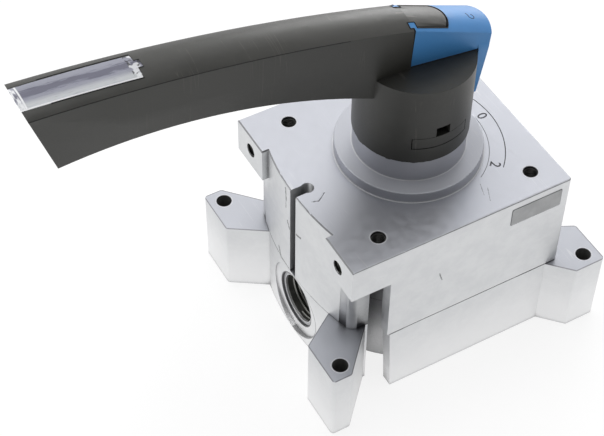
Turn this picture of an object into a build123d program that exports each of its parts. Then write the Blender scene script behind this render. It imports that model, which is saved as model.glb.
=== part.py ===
from build123d import *
import os
from math import cos, degrees, radians, sin

# Hand lever air valve. Millimetres, Z up. The origin lies on the lever's turning axis, in the
# plane that the four feet stand on. The lever points along -X, over the port that the photo shows.

# Housing outline
half_width = 44.7  # centre line to each side face
body_rear = 46.0  # axis to the rear face
front_reach = 51.1  # axis to the front pads
front_bow_radius = 112.0  # radius of the bowed front wall, seen from above
front_block_half = 36.0
front_block_back = 37.5
front_block_corner = 4.0
pad_inner = 24.6  # the pads start this far from the centre line
side_wall = 5.0
rear_wall = 6.0
side_wall_front = 34.0  # the side walls end this far in front of the axis
lower_wall_setback = 1.2  # the lower walls start this much further back at the seam
lower_wall_draft = 1.9  # and lose this much more down to the base
barrel_radius = 39.6
corner_radius = 1.2
lower_height = 35.0
upper_height = 48.0
plate_thickness = 16.2
edge_break = 0.5
seam_groove = 0.35

# Feet
foot_hole_x = 57.0
foot_hole_y = 48.0
foot_hole_radius = 3.2
foot_margin_x = 6.3  # hole centre to the outer end
foot_margin_y = 6.0
foot_corner = 1.5
foot_web_outer = 34.1  # the foot's sloped web meets its end here, from the centre line
front_foot_web = (48.0, 23.9)  # where the web meets the wall, from the axis
rear_foot_web = (45.4, 25.0)
front_foot_heel = 55.2  # the foot's flat edge starts here, from the axis
rear_foot_heel = 49.5
front_foot_root = (38.0, 35.5)  # where the foot's inner edge runs into the wall
rear_foot_root = (40.0, 44.2)

# Threads for mounting
tap_radius = 2.5  # M6 core
thread_radius = 3.0
top_tap_offset = 34.0
face_tap_offset = 34.0
face_tap_drop = 7.6  # below the plate's top
face_tap_depth = 12.0
keyhole_radius = 2.6
keyhole_width = 4.2
keyhole_depth = 6.3  # front face to the round hole's centre

# Ports, G1/2
port_height = 17.5
port_bore_radius = 9.5
port_chamfer = 1.0
port_thread_length = 16.0
port_rim_radius = 12.0
port_rim_depth = 0.9
spot_radius = 16.8
front_spot_depth = 1.8
spot_depth = 0.8
port_boss_radius = 14.0
side_port_offset = 20.0
duct_radius = 6.5

# Valve plates inside
cavity_radius = 28.0
cavity_height = 26.0
seat_radius = 27.7
seat_thickness = 6.0
seat_port_radius = 5.5
port_ring_radius = 18.0  # axis to the seat's port centres
rotor_radius = 25.0
rotor_thickness = 7.0
kidney_half_angle = 45.0
kidney_depth = 4.0
running_gap = 0.02
dowel_radius = 2.0
dowel_pitch = 24.0
dowel_length = 8.0
pin_gap = 0.05
port_seal_radius = 7.8
port_seal_depth = 1.3
seal_inner = 29.2
seal_outer = 31.4
seal_depth = 1.6

# Spindle, springs and detent
shaft_radius = 8.0
shaft_gap = 0.03
bush_radius = 10.5
bush_length = 25.0
flange_radius = 19.5
flange_thickness = 8.0
spring_space = 3.0
cup_inner = 10.0
cup_outer = 16.0
cup_thickness = 0.8
drive_pin_radius = 2.5
drive_pin_pitch = 7.0
drive_pin_depth = 3.5
drive_pin_roof = 1.0
detent_land_radius = 19.8
detent_angles = (-45, 0, 45)
washer_margin = 2.0  # the thrust washer is this much smaller than the flange
notch_depth = 0.8
ball_radius = 3.0
ball_gap = 0.1
ball_hole_depth = 11.5
coil_radius = 2.2
coil_wire = 0.55  # side of the square wire
coil_turns = 4
groove_depth = 1.4
groove_width = 2.4
square_across = 11.3
square_top = 43.0  # spindle end above the plate
clip_groove_radius = 4.8

# Collar and neck, heights above the plate
collar_radius = 29.0
collar_height = 4.7
neck_inset = 0.6  # the neck is this much slimmer than the hub
neck_height = 14.7
sleeve_radius = 13.0
sleeve_height = 21.0
wiper_height = 3.0

# Housing screws, M4 from below
screw_pitch_radius = 34.8
screw_count = 6
screw_radius = 2.0
screw_head_radius = 3.5
screw_head_height = 4.0
screw_head_sink = 0.4
screw_grip = 11.0  # length in the upper housing
screw_hole_spare = 1.0

# Hub, heights above the plate
hub_radius = 22.6
hub_gap = 0.3  # running gap over the neck
hub_wall = 3.2
hub_top = 50.0
hub_tilt = 0.06  # the hub's top rises towards the blade
hub_roof = 4.0
hub_boss_radius = 11.0

# Clip in the hub wall
clip_start_angle = -121.6
clip_end_angle = -61.4
clip_low = 22.3
clip_height = 5.0
clip_thickness = 2.6
clip_gap = 0.3
clip_fork_height = 3.0
clip_fork_half = 8.4
pry_start_angle = -99.0
pry_end_angle = -84.5
pry_height = 4.3

# Blade, heights above the plate
blade_tip_half = 9.7
blade_root_half = 7.9
crown = 2.4
tip_reach = 150.0
tip_crease = 95.5
cap_edge = 6.5  # the cap starts this far in front of the axis
root_crease = 69.0
crease_bow = 4.1
belly_half = 6.8
belly_root = (-22.0, 42.3)
belly_tip_setback = 8.0  # the underside ends this far behind the tip
belly_tip_height = 67.9
belly_bow = 8.7
fold_inset = 0.35
fold_depth = 12.0
fold_start = 1.0
fold_run = 46.0  # the side fold reaches its full depth in this length
blade_wall = 2.6
blade_roof = 5.0
rib_thickness = 2.0
rib_pitch = 21.5
channel_start = 30.0
channel_end_wall = 13.0  # solid length left at the tip
blade_shares = (0.05, 0.15, 0.26, 0.39, 0.53, 0.67, 0.81, 1.0)  # sections along the blade
channel_shares = (0.0, 0.24, 0.5, 0.76, 1.0)

# Cap
nose_overhang = 6.4  # hub wall to the cap's front
nose_crease = 53.3
nose_radius = 18.0
nose_flare = 0.7  # extra half width at the nose
nose_foot_half = 6.3
nose_foot_flare = 2.9
nose_lean = 0.094  # slope of the cap's front face
cap_wall = 1.8
cap_gap = 0.35
core_setback = 3.6  # the lever's core under the cap ends this far inside the hub wall
tongue_half = 6.2
tongue_side = 7.7
tongue_reach = 10.3
tongue_thickness = 2.4
tongue_gap = 0.5
tab_reach = 1.5  # the tabs hook this far over the lever
tab_inner = 4.5
tab_outer = 6.9
tab_thickness = 2.2
tab_gap = 0.15
pointer_tip = 23.0  # height of the pointer's tip
pointer_top = 52.5
pointer_top_half = 8.2  # inside the cap's nose
pointer_tip_half = 5.8
pointer_tip_thickness = 1.2
pointer_gap = 0.3  # to the hub, at the pointer's root

# Label holder on the blade
label_length = 41.0
label_half = 5.9
label_depth = 3.2
label_gap = 0.08
window_thickness = 2.4
strip_thickness = 0.5
strip_margin = 1.2
nib_length = 1.8
nib_half = 1.8

# Values that follow from these
neck_radius = hub_radius - neck_inset
nose_reach = hub_radius + nose_overhang
core_reach = hub_radius - core_setback
belly_tip = (belly_tip_setback - tip_reach, belly_tip_height)
channel_end = tip_reach - channel_end_wall
label_inner = tip_reach - label_length

# Heights above the base
seam = lower_height
plate_top = lower_height + upper_height
plate_bottom = plate_top - plate_thickness
ceiling = seam + cavity_height
rotor_low = seam + seat_thickness + running_gap
rotor_high = rotor_low + rotor_thickness
flange_low = rotor_high + spring_space
flange_high = flange_low + flange_thickness
sleeve_top = plate_top + sleeve_height
hub_low = plate_top + neck_height + hub_gap
hub_ceiling = plate_top + hub_top - hub_roof
fork_low = plate_top + clip_low + (clip_height - clip_fork_height) / 2
far = 240.0  # reach of cutting blocks, past the whole part
over = 1.0  # short overrun of a cut past the face it opens
seat_port_angles = (45, 135, 225, 315)


def disc(radius, low, high, x=0.0, y=0.0):
    flat_bottom = (Align.CENTER, Align.CENTER, Align.MIN)
    return Pos(x, y, low) * Cylinder(radius, high - low, align=flat_bottom)


def ring(inner, outer, low, high):
    return disc(outer, low, high) - disc(inner, low, high)


def block(x0, x1, y0, y1, z0, z1):
    corner = (Align.MIN, Align.MIN, Align.MIN)
    return Pos(x0, y0, z0) * Box(x1 - x0, y1 - y0, z1 - z0, align=corner)


def prism(outline, low, high):
    return extrude(Pos(0, 0, low) * outline, high - low)


def polar(radius, angle):
    return radius * cos(radians(angle)), radius * sin(radians(angle))


def tube(start, end, radius):
    span = Vector(*end) - Vector(*start)
    return Plane(origin=start, z_dir=span) * disc(radius, 0, span.length)


def bowed(x, start, end, bow):
    """Height on a line from start to end that bulges by bow at its middle."""
    share = (x - start[0]) / (end[0] - start[0])
    return start[1] + (end[1] - start[1]) * share + 4 * bow * share * (1 - share)


# Housing outlines, seen from above


def bowed_front():
    return Pos(front_bow_radius - front_reach, 0) * Circle(front_bow_radius)


def plate_outline():
    length = body_rear + front_reach
    plate = Pos(body_rear - length / 2, 0) * Rectangle(length, 2 * half_width)
    rear_corners = plate.vertices().group_by(Axis.X)[-1]
    plate = fillet(rear_corners, corner_radius)
    between_pads = Pos(-front_reach, 0) * Rectangle(front_reach / 2, 2 * pad_inner)
    return plate - (between_pads - bowed_front())


def front_block_outline():
    length = front_reach - front_block_back
    middle = -front_block_back - length / 2
    front = Pos(middle, 0) * Rectangle(length, 2 * front_block_half) & bowed_front()
    corners = [v for v in front.vertices() if v.X < -front_block_back - over and abs(v.Y) > pad_inner]
    return fillet(corners, front_block_corner)


def wall_outline():
    length = body_rear + side_wall_front
    outer = Pos(body_rear - length / 2, 0) * Rectangle(length, 2 * half_width)
    outer = fillet(outer.vertices().group_by(Axis.X)[-1], corner_radius)
    inner_half = half_width - side_wall
    inner = Pos(body_rear - rear_wall - length / 2, 0) * Rectangle(length, 2 * inner_half)
    return outer - inner


def body_outline():
    return Circle(barrel_radius) + wall_outline() + front_block_outline()


def foot_outline(x_side):
    """Foot on the -Y side: x_side is -1 at the front and 1 at the rear."""
    web = front_foot_web if x_side < 0 else rear_foot_web
    heel = front_foot_heel if x_side < 0 else rear_foot_heel
    root = front_foot_root if x_side < 0 else rear_foot_root
    end_x = foot_hole_x + foot_margin_x
    end_y = foot_hole_y + foot_margin_y
    points = [
        (root[0], web[1]),
        web,
        (end_x, foot_web_outer),
        (end_x, end_y),
        (heel, end_y),
        root,
    ]
    foot = make_face(Polyline([(x_side * x, -y) for x, y in points], close=True))
    outer = [v for v in foot.vertices() if abs(v.X) > end_x - 0.01 or -v.Y > end_y - 0.01]
    return fillet(outer, foot_corner)


# Ports and ducts


def port_places():
    """Each port's spot face centre, the way it faces and its port in the seat."""
    front = (-front_reach + front_spot_depth, 0, port_height)
    rear = (body_rear - spot_depth, 0, port_height)
    side_y = half_width - spot_depth
    left = (-side_port_offset, side_y, port_height)
    right = (side_port_offset, side_y, port_height)
    return [
        (front, (-1, 0, 0), 225),
        (rear, (1, 0, 0), 315),
        (left, (0, 1, 0), 135),
        (right, (0, 1, 0), 45),
    ]


def port_cut(place, facing, seat_angle):
    rim_floor = -port_rim_depth
    bore_floor = rim_floor - port_thread_length
    mouth = disc(spot_radius, 0, far) + disc(port_rim_radius, rim_floor, 0)
    lead = Cone(port_bore_radius, port_bore_radius + port_chamfer, port_chamfer)
    lead = Pos(0, 0, rim_floor - port_chamfer / 2) * lead
    bore = disc(port_bore_radius, bore_floor, rim_floor)
    cut = Plane(origin=place, z_dir=facing) * (mouth + lead + bore)
    bore_end = Vector(*place) + Vector(*facing) * (bore_floor + over)
    elbow_x, elbow_y = polar(port_ring_radius, seat_angle)
    elbow = (elbow_x, elbow_y, port_height)
    duct = tube(bore_end, elbow, duct_radius)
    riser = disc(seat_port_radius, port_height, seam, elbow_x, elbow_y)
    return cut + duct + Pos(*elbow) * Sphere(duct_radius) + riser


def seat_ports(radius, low, high):
    places = [polar(port_ring_radius, angle) for angle in seat_port_angles]
    return [disc(radius, low, high, x, y) for x, y in places]


def screw_places():
    step = 360 / screw_count
    return [polar(screw_pitch_radius, step / 2 + step * i) for i in range(screw_count)]


# Housing


def lower_housing():
    outline = body_outline()
    for x_side in (-1, 1):
        foot = foot_outline(x_side)
        outline += foot + mirror(foot, about=Plane.XZ)
    body = prism(outline, 0, seam) - wall_relief()
    for place, facing, _ in port_places():
        inner = Vector(*place) - Vector(*facing) * (half_width - cavity_radius)
        body += tube(inner, Vector(*place), port_boss_radius)
    for port in port_places():
        body -= port_cut(*port)
    for x in (-foot_hole_x, foot_hole_x):
        for y in (-foot_hole_y, foot_hole_y):
            body -= disc(foot_hole_radius, -over, seam + over, x, y)
    body -= ring(seal_inner, seal_outer, seam - seal_depth, seam)
    for seal_pocket in seat_ports(port_seal_radius, seam - port_seal_depth, seam):
        body -= seal_pocket
    head_room = screw_head_height + screw_head_sink
    for x, y in screw_places():
        body -= disc(screw_radius + pin_gap, 0, seam, x, y)
        body -= disc(screw_head_radius + clip_gap, 0, head_room, x, y)
    for x in (-dowel_pitch, dowel_pitch):
        body -= disc(dowel_radius + pin_gap, seam - dowel_length / 2, seam, x)
    return body


def wall_relief():
    """What the drafted front ends of the lower side walls lose."""
    front = -side_wall_front - over
    top = -side_wall_front + lower_wall_setback
    bottom = top + lower_wall_draft
    side = make_face(Polyline((front, seam), (top, seam), (bottom, 0), (front, 0), close=True))
    wedge = extrude(Plane.XZ.offset(half_width - side_wall - edge_break) * side, side_wall + over)
    return wedge + mirror(wedge, about=Plane.XZ)


def upper_housing():
    plate = prism(plate_outline(), plate_bottom, plate_top)
    plate = chamfer(plate.faces().sort_by(Axis.Z)[-1].edges(), edge_break)
    body = plate + prism(body_outline(), seam, plate_bottom)
    shrunk = offset(wall_outline(), -seam_groove) + Circle(barrel_radius)
    kept = prism(shrunk + front_block_outline(), seam, seam + seam_groove)
    body -= block(-far, far, -far, far, seam, seam + seam_groove) - kept
    body += collar()
    body -= disc(cavity_radius, seam, ceiling)
    body -= disc(bush_radius, ceiling, ceiling + bush_length)
    body -= disc(shaft_radius + shaft_gap, ceiling, sleeve_top)
    body -= disc(bush_radius, sleeve_top - wiper_height, sleeve_top)
    for x, y in screw_places():
        body -= disc(screw_radius + pin_gap, seam, seam + screw_grip + screw_hole_spare, x, y)
    for x in (-top_tap_offset, top_tap_offset):
        for y in (-top_tap_offset, top_tap_offset):
            body -= tapped_hole(x, y)
    for y in (-face_tap_offset, face_tap_offset):
        mouth = (-front_reach, y, plate_top - face_tap_drop)
        body -= Plane(origin=mouth, z_dir=(-1, 0, 0)) * tap_cut(face_tap_depth)
    return body - keyhole()


def tap_cut(depth):
    lead = Cone(tap_radius, thread_radius, edge_break)
    return disc(tap_radius, -depth, 0) + Pos(0, 0, -edge_break / 2) * lead


def tapped_hole(x, y):
    return Pos(x, y, plate_top) * tap_cut(plate_thickness)


def keyhole():
    centre = -front_reach + keyhole_depth
    half = keyhole_width / 2
    slot = block(-front_reach - over, centre, -half, half, seam, plate_top)
    return slot + disc(keyhole_radius, seam, plate_top, centre)


def collar():
    flange = disc(collar_radius, plate_top, plate_top + collar_height)
    flange = fillet(flange.edges().sort_by(Axis.Z)[-1], edge_break)
    neck = disc(neck_radius, plate_top, plate_top + neck_height)
    return flange + neck + disc(sleeve_radius, plate_top, sleeve_top)


def housing_screws():
    head_top = screw_head_height + screw_head_sink
    socket = extrude(RegularPolygon(screw_radius, 6), screw_head_height / 2)
    screw = disc(screw_head_radius, screw_head_sink, head_top)
    screw += disc(screw_radius, head_top, seam + screw_grip)
    screw -= Pos(0, 0, screw_head_sink) * socket
    return Compound([Pos(x, y, 0) * screw for x, y in screw_places()])


def housing_seal():
    return ring(seal_inner, seal_outer, seam - seal_depth, seam)


def port_seals():
    low = seam - port_seal_depth
    outer = seat_ports(port_seal_radius, low, seam)
    inner = seat_ports(seat_port_radius + pin_gap, low, seam)
    return Compound([a - b for a, b in zip(outer, inner)])


def seat_dowels():
    low = seam - dowel_length / 2
    pins = [disc(dowel_radius, low, low + dowel_length, x) for x in (-dowel_pitch, dowel_pitch)]
    return Compound(pins)


def seat_disc():
    seat = disc(seat_radius, seam, seam + seat_thickness)
    for port in seat_ports(seat_port_radius, seam, seam + seat_thickness):
        seat -= port
    for x in (-dowel_pitch, dowel_pitch):
        seat -= disc(dowel_radius + pin_gap, seam, seam + dowel_length / 2 + pin_gap, x)
    return seat


def bearing_bush():
    return ring(shaft_radius + shaft_gap, bush_radius, ceiling, ceiling + bush_length)


def thrust_washer():
    outer = flange_radius - washer_margin
    return ring(shaft_radius + clip_gap, outer, flange_high + running_gap, ceiling)


def wiper_ring():
    return ring(shaft_radius + shaft_gap, bush_radius, sleeve_top - wiper_height, sleeve_top)


def detent_ring():
    low = flange_low - clip_gap
    body = ring(detent_land_radius, cavity_radius, low, ceiling)
    groove_radius = ball_radius + 2 * ball_gap
    centre = detent_land_radius + notch_depth - groove_radius
    for half_turn in (0, 180):
        for angle in detent_angles:
            x, y = polar(centre, angle + half_turn)
            body -= disc(groove_radius, low, ceiling, x, y)
    return body


# Turning parts


def spindle():
    shaft = disc(flange_radius, flange_low, flange_high)
    shaft += disc(shaft_radius, flange_low, plate_top + square_top)
    corner = square_across / 2
    square_low = sleeve_top + hub_gap
    waste = block(-far, far, -far, far, square_low, plate_top + square_top)
    shaft -= waste - block(-corner, corner, -corner, corner, square_low, far)
    clip_low_face = fork_low - ball_gap
    clip_high_face = fork_low + clip_fork_height + ball_gap
    shaft -= ring(clip_groove_radius, shaft_radius + over, clip_low_face, clip_high_face)
    seal_low = ceiling + bush_length + pin_gap
    bottom = shaft_radius - groove_depth
    shaft -= ring(bottom, shaft_radius + over, seal_low, seal_low + groove_width)
    for side in (-1, 1):
        shaft -= tube(*ball_hole(side), ball_radius + pin_gap)
    for y in (-drive_pin_pitch, drive_pin_pitch):
        shaft -= disc(drive_pin_radius + pin_gap, flange_low, flange_high - drive_pin_roof, y=y)
    return shaft


def ball_hole(side):
    middle = flange_low + flange_thickness / 2
    mouth = flange_radius + over
    return (side * mouth, 0, middle), (side * (flange_radius - ball_hole_depth), 0, middle)


def shaft_seal():
    low = ceiling + bush_length + 2 * pin_gap
    return ring(shaft_radius - groove_depth, shaft_radius, low, low + groove_width - 2 * pin_gap)


def drive_pins():
    low = rotor_high - drive_pin_depth
    top = flange_high - drive_pin_roof
    places = (-drive_pin_pitch, drive_pin_pitch)
    return Compound([disc(drive_pin_radius, low, top, y=y) for y in places])


def kidney(middle_angle):
    """Banana-shaped channel that joins two neighbouring ports when turned half way."""
    start = middle_angle - kidney_half_angle
    inner = port_ring_radius - seat_port_radius
    outer = port_ring_radius + seat_port_radius
    high = rotor_low + kidney_depth
    profile = Plane.XZ * Pos(port_ring_radius, (rotor_low + high) / 2) * Rectangle(outer - inner, kidney_depth)
    channel = Rot(0, 0, start) * revolve(profile, Axis.Z, 2 * kidney_half_angle)
    for angle in (start, start + 2 * kidney_half_angle):
        x, y = polar(port_ring_radius, angle)
        channel += disc(seat_port_radius, rotor_low, high, x, y)
    return channel


def rotary_disc():
    body = disc(rotor_radius, rotor_low, rotor_high)
    for angle in (45, 225):
        body -= kidney(angle)
    for y in (-drive_pin_pitch, drive_pin_pitch):
        low = rotor_high - drive_pin_depth - pin_gap
        body -= disc(drive_pin_radius + pin_gap, low, rotor_high, y=y)
    return body


def cup_springs():
    """Two cup springs, rim to rim."""
    rise = spring_space / 2 - cup_thickness
    profile = make_face(
        Polyline(
            (cup_inner, rotor_high),
            (cup_outer, rotor_high + rise),
            (cup_outer, rotor_high + rise + cup_thickness),
            (cup_inner, rotor_high + cup_thickness),
            close=True,
        )
    )
    lower = revolve(Plane.XZ * profile, Axis.Z)
    middle = Plane.XY.offset((rotor_high + flange_low) / 2)
    return Compound([lower, mirror(lower, about=middle)])


def ball_centre(side):
    reach = detent_land_radius - ball_gap - ball_radius
    return side * reach, 0, flange_low + flange_thickness / 2


def detent_ball(side):
    return Pos(*ball_centre(side)) * Sphere(ball_radius)


def detent_springs():
    start = flange_radius - ball_hole_depth
    length = ball_centre(1)[0] - ball_radius - start - coil_wire
    path = Helix(length / coil_turns, length, coil_radius)
    section = Plane(origin=path @ 0, z_dir=path % 0) * Rectangle(coil_wire, coil_wire)
    coil = sweep(section, path=path, is_frenet=True)
    height = flange_low + flange_thickness / 2
    coils = []
    for side in (-1, 1):
        base = (side * (start + coil_wire / 2), 0, height)
        coils.append(Plane(origin=base, z_dir=(side, 0, 0)) * coil)
    return Compound(coils)


# Lever


def crease_height(x):
    """Height of the blade's and the cap's upper side edge above the plate."""
    if x < -cap_edge:
        return bowed(x, (-tip_reach, tip_crease), (-cap_edge, root_crease), crease_bow)
    return bowed(x, (-cap_edge, root_crease), (nose_reach, nose_crease), 0)


def blade_half(x):
    return bowed(x, (-tip_reach, blade_tip_half), (-cap_edge, blade_root_half), 0)


def belly_height(x):
    return bowed(x, belly_root, belly_tip, belly_bow)


def fold_drop(x):
    fold_end = -tip_reach + fold_run
    if x > fold_end:
        return fold_depth
    share = max(0, (x + tip_reach) / fold_run)
    return fold_start + (fold_depth - fold_start) * sin(radians(90 * share))


def crowned_section(x, half, crease, corners):
    """Cross-section at x: crowned top, and sides that pass the given corners below the crease."""
    right = [(half, crease)] + corners
    left = [(-y, z) for y, z in reversed(right)]
    outline = Polyline(*right, *left) + ThreePointArc(left[-1], (0, crease + crown), right[0])
    return Plane.YZ.offset(x) * make_face(outline)


def blade_section(x):
    crease = plate_top + crease_height(x)
    half = blade_half(x)
    fold = (half - fold_inset, crease - fold_drop(x))
    belly = (belly_half, plate_top + belly_height(x))
    return crowned_section(x, half, crease, [fold, belly])


def blade_envelope():
    run = tip_reach - cap_edge
    stations = [-tip_reach - 4 * over] + [-tip_reach + run * share for share in blade_shares]
    return loft([blade_section(x) for x in stations])


def hub_top_height(x):
    return plate_top + hub_top - hub_tilt * x


def nose_section(x, inset):
    share = (x + cap_edge) / (nose_reach + cap_edge)
    half = blade_root_half + nose_flare * share - inset
    foot_half = nose_foot_half + nose_foot_flare * share - inset
    foot = (foot_half, hub_top_height(x))
    return crowned_section(x, half, plate_top + crease_height(x) - inset, [foot])


def nose_loft(inset, start, end):
    middle = (start + end) / 2
    return loft([nose_section(x, inset) for x in (start, middle, end)])


def top_form():
    """The blade and the cap's outer form in one, longer than both at each end."""
    return blade_envelope() + nose_loft(0, -cap_edge, nose_reach + 2 * over)


def nose_limit(inset):
    """Rounded front of the cap, leaning back towards the pointer's tip."""
    low = plate_top + pointer_tip
    high = plate_top + root_crease + 2 * crown
    centre = nose_reach - nose_radius
    rise_low = pointer_tip - nose_crease
    rise_high = root_crease + 2 * crown - nose_crease
    bottom = nose_radius + nose_lean * rise_low - inset
    top = nose_radius + nose_lean * rise_high - inset
    flat_bottom = (Align.CENTER, Align.CENTER, Align.MIN)
    cone = Pos(centre, 0, low) * Cone(bottom, top, high - low, align=flat_bottom)
    return cone, block(-cap_edge - over, centre, -nose_radius, nose_radius, low, high)


def slab(envelope, upper, lower):
    """Layer of an envelope between two depths below its top."""
    return Pos(0, 0, -upper) * envelope - Pos(0, 0, -lower) * envelope


def tongue_outline(gap):
    half = tongue_half + gap
    side = tongue_side + gap
    back = -cap_edge - over
    lines = Polyline((side, -half), (back, -half), (back, half), (side, half))
    return make_face(lines + ThreePointArc((side, half), (tongue_reach + gap, 0), (side, -half)))


def tab_blocks(gap):
    back = -cap_edge - tab_reach - gap
    high = plate_top + root_crease + 3 * crown
    low = high - 4 * crown
    front = -cap_edge + tab_reach + gap
    right = block(back, front, -tab_outer - gap, gap - tab_inner, low, high)
    return right + mirror(right, about=Plane.XZ)


def end_trim():
    slope = (tip_reach + belly_tip[0]) / (tip_crease - belly_tip[1])
    high = plate_top + tip_crease + 2 * crown
    low = plate_top + belly_tip[1] - 2 * crown
    top_x = -tip_reach - slope * 2 * crown
    low_x = belly_tip[0] + slope * 2 * crown
    end = -tip_reach - 10 * over
    side = make_face(Polyline((top_x, high), (end, high), (end, low), (low_x, low), close=True))
    return extrude(Plane.XZ * side, far, both=True)


def label_blocks(gap):
    back = -tip_reach - 10 * over
    half = label_half - gap
    low = plate_top + root_crease
    high = plate_top + tip_crease + 2 * crown
    front = -label_inner - gap
    room = block(back, front, -half, half, low, high)
    nib = nib_half - gap
    return room + block(front - over, front + nib_length, -nib, nib, low, high)


def blade_channel():
    """Hollow underside of the blade, open below, crossed by ribs."""
    sections = []
    run = channel_end - channel_start
    for share in channel_shares:
        x = -channel_end + run * share
        top = plate_top + crease_height(x) - blade_roof
        bottom = plate_top + belly_height(x) - over
        top_half = blade_half(x) - fold_inset - blade_wall
        low_half = belly_half - blade_wall
        corners = [(top_half, top), (low_half, bottom), (-low_half, bottom), (-top_half, top)]
        sections.append(Plane.YZ.offset(x) * make_face(Polyline(*corners, close=True)))
    channel = loft(sections)
    rib = -channel_start - rib_pitch
    while rib > -channel_end + rib_thickness:
        channel -= block(rib - rib_thickness / 2, rib + rib_thickness / 2, -far, far, 0, far)
        rib -= rib_pitch
    return channel


def hub():
    body = disc(hub_radius, hub_low, plate_top + hub_top + 2 * over)
    return body - above_hub()


def above_hub():
    x = hub_radius + over
    high = plate_top + far
    corners = [(-x, hub_top_height(-x)), (x, hub_top_height(x)), (x, high), (-x, high)]
    return extrude(Plane.XZ * make_face(Polyline(*corners, close=True)), far, both=True)


def sector(inner, outer, low, high, start, end):
    middle = Pos((inner + outer) / 2, (low + high) / 2)
    profile = Plane.XZ * middle * Rectangle(outer - inner, high - low)
    return Rot(0, 0, start) * revolve(profile, Axis.Z, end - start)


def lever():
    form = top_form()
    tongue = slab(form, 0, tongue_thickness) & prism(tongue_outline(0), plate_top, far)
    blade = form - block(-cap_edge - cap_gap, far, -far, far, 0, far)
    body = hub() + blade + nose_loft(cap_wall + cap_gap, -cap_edge - over, core_reach) + tongue
    body -= disc(hub_radius - hub_wall, hub_low, hub_ceiling)
    body += disc(hub_boss_radius, sleeve_top + hub_gap, hub_ceiling)
    corner = square_across / 2 + shaft_gap
    body -= block(-corner, corner, -corner, corner, sleeve_top, plate_top + square_top + hub_gap)
    body -= clip_room()
    body -= tab_blocks(tab_gap) - Pos(0, 0, -tab_thickness - tab_gap) * form
    body -= label_blocks(-label_gap) - Pos(0, 0, -label_depth) * form
    body -= blade_channel()
    return body - end_trim()


def clip_fork(gap):
    half = clip_fork_half + gap
    tail = hub_boss_radius / 2 + gap
    low = fork_low - gap
    return block(-half, half, -hub_radius + clip_thickness, tail, low, low + clip_fork_height + 2 * gap)


def clip_room():
    low = plate_top + clip_low
    high = low + clip_height
    inner = hub_radius - hub_wall - over
    outer = hub_radius + over
    swing = degrees(clip_gap / hub_radius)
    strip = sector(inner, outer, low - clip_gap, high + ball_gap, clip_start_angle - swing, clip_end_angle + swing)
    window = sector(inner, outer, high, high + pry_height, pry_start_angle, pry_end_angle)
    return strip + window + clip_fork(ball_gap)


def hub_clip():
    low = plate_top + clip_low
    inner = hub_radius - clip_thickness
    strip = sector(inner, hub_radius, low, low + clip_height, clip_start_angle, clip_end_angle)
    slot = clip_groove_radius + ball_gap
    throat = disc(slot, 0, far) + block(-slot, slot, 0, far, 0, far)
    return strip + (clip_fork(0) - throat)


def pointer_cap():
    end = nose_reach + 2 * over
    outer = nose_loft(0, -cap_edge, end)
    inner = nose_loft(cap_wall, -cap_edge - over, end)
    cone, back = nose_limit(0)
    inner_cone, inner_back = nose_limit(cap_wall)
    shell = (outer & (cone + back)) - (inner & (inner_cone + inner_back))
    tongue_room = prism(tongue_outline(tongue_gap), plate_top, far)
    shell -= tongue_room - Pos(0, 0, -tongue_thickness - tongue_gap) * outer
    tabs = tab_blocks(0) & slab(top_form(), 0, tab_thickness)
    return shell + pointer(cone) + tabs


def pointer(cone):
    tip = plate_top + pointer_tip
    top = plate_top + pointer_top
    root = (nose_foot_half + nose_foot_flare, hub_top_height(nose_reach))
    side = [(pointer_tip_half, tip), root, (pointer_top_half, top)]
    face = make_face(Polyline(*side, *[(-y, z) for y, z in reversed(side)], close=True))
    blade = extrude(Plane.YZ.offset(hub_radius - pointer_tip_thickness) * face, far)
    tip_face = nose_reach + nose_lean * (pointer_tip - nose_crease)
    flat_bottom = (Align.CENTER, Align.CENTER, Align.MIN)
    inner = Cone(tip_face - pointer_tip_thickness, hub_radius + pointer_gap, top - tip, align=flat_bottom)
    return (blade & cone) - Pos(0, 0, tip) * inner


def label_window():
    layer = slab(blade_envelope(), 0, window_thickness)
    return (label_blocks(label_gap) & layer) - end_trim()


def label_strip():
    top = label_depth - strip_thickness - pin_gap
    layer = slab(blade_envelope(), top, label_depth - pin_gap)
    half = label_half - strip_margin
    back = -tip_reach + 3 * strip_margin
    front = -label_inner - strip_margin
    return block(back, front, -half, half, plate_top, far) & layer


def save(name, shape):
    os.makedirs("parts", exist_ok=True)
    export_step(shape, f"parts/{name}.step")


save("lower_housing", lower_housing())
save("upper_housing", upper_housing())
save("housing_screws", housing_screws())
save("housing_seal", housing_seal())
save("port_seals", port_seals())
save("seat_dowels", seat_dowels())
save("seat_disc", seat_disc())
save("bearing_bush", bearing_bush())
save("thrust_washer", thrust_washer())
save("wiper_ring", wiper_ring())
save("detent_ring", detent_ring())
save("spindle", spindle())
save("shaft_seal", shaft_seal())
save("drive_pins", drive_pins())
save("rotary_disc", rotary_disc())
save("cup_springs", cup_springs())
save("detent_springs", detent_springs())
save("detent_ball_front", detent_ball(-1))
save("detent_ball_rear", detent_ball(1))
save("lever", lever())
save("hub_clip", hub_clip())
save("pointer_cap", pointer_cap())
save("label_window", label_window())
save("label_strip", label_strip())
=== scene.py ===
import random
from math import cos, pi, radians, sin

import bmesh
import bpy
from mathutils import Matrix, Vector
from mathutils.bvhtree import BVHTree


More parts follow.
